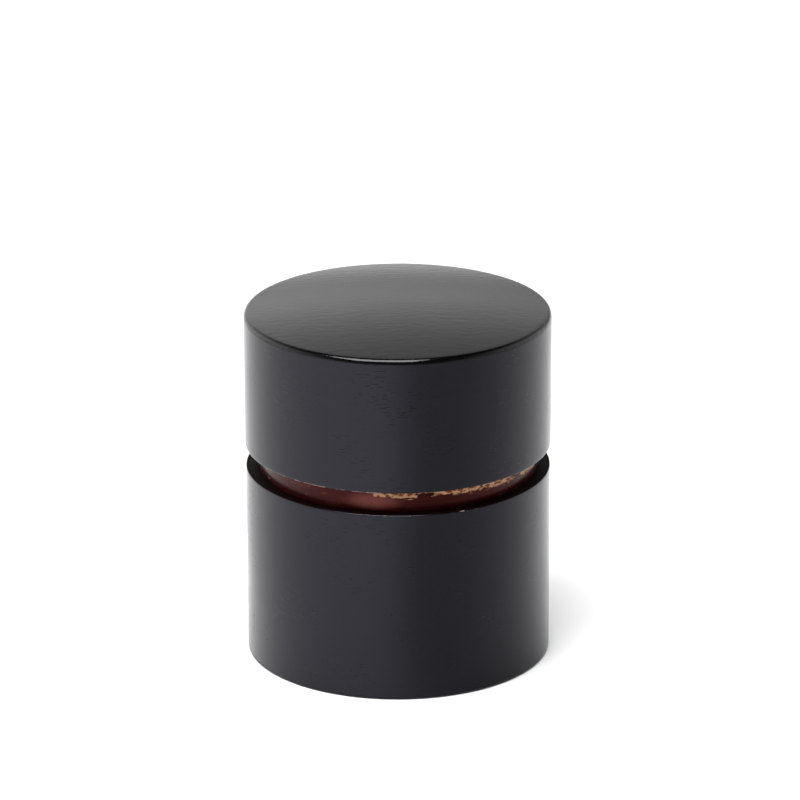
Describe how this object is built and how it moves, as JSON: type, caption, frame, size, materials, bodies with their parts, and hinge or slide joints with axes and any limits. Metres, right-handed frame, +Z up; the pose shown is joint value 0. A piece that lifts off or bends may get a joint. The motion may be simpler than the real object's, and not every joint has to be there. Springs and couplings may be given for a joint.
{
  "type": "tea caddy",
  "caption": "Round black-lacquered tea caddy with a cherry-bark inner sleeve, a knobbed inner lid and a domed outer lid that slides off upwards.",
  "frame": {"origin": "centre of the underside, on the surface the caddy stands on", "axes": "+Z up along the caddy's axis; -Y is the side seen in the main view, with +X to its right"},
  "size_m": [0.0804, 0.0804, 0.0957],
  "materials": {
    "black_lacquer": "satin black lacquer over bark, finely rippled",
    "cherry_bark": "polished cherry bark with tan pores",
    "core_wood": "glued thin wood sheets",
    "turned_wood": "turned solid wood, waxed"
  },
  "bodies": {
    "container": {"base_skin": "black_lacquer", "base_board": "turned_wood", "floor_bark": "cherry_bark", "body_core_tube": "core_wood", "body_outer_skin": "black_lacquer", "shoulder_ring": "black_lacquer", "sleeve_outer_bark": "cherry_bark", "sleeve_core_tube": "core_wood", "sleeve_lining": "cherry_bark", "mouth_ring": "black_lacquer"},
    "inner_lid": {"inner_lid_flange": "turned_wood", "inner_lid_edge_bark": "cherry_bark", "inner_lid_top_bark": "cherry_bark", "inner_lid_plug": "turned_wood", "inner_lid_plug_bark": "cherry_bark", "inner_lid_under_bark": "cherry_bark", "inner_lid_knob": "turned_wood"},
    "outer_lid": {"lid_outer_skin": "black_lacquer", "lid_top_skin": "black_lacquer", "lid_core_tube": "core_wood", "lid_top_board": "turned_wood", "lid_ceiling_bark": "cherry_bark", "lid_lining": "cherry_bark", "lid_rim_ring": "black_lacquer"}
  },
  "joints": [
    {"name": "inner_lid_lift", "type": "slide", "parent": "container", "child": "inner_lid", "axis": [0, 0, 1], "range_m": [0, 0.02]},
    {"name": "outer_lid_lift", "type": "slide", "parent": "inner_lid", "child": "outer_lid", "axis": [0, 0, 1], "range_m": [-0.00595, 0.03]}
  ]
}
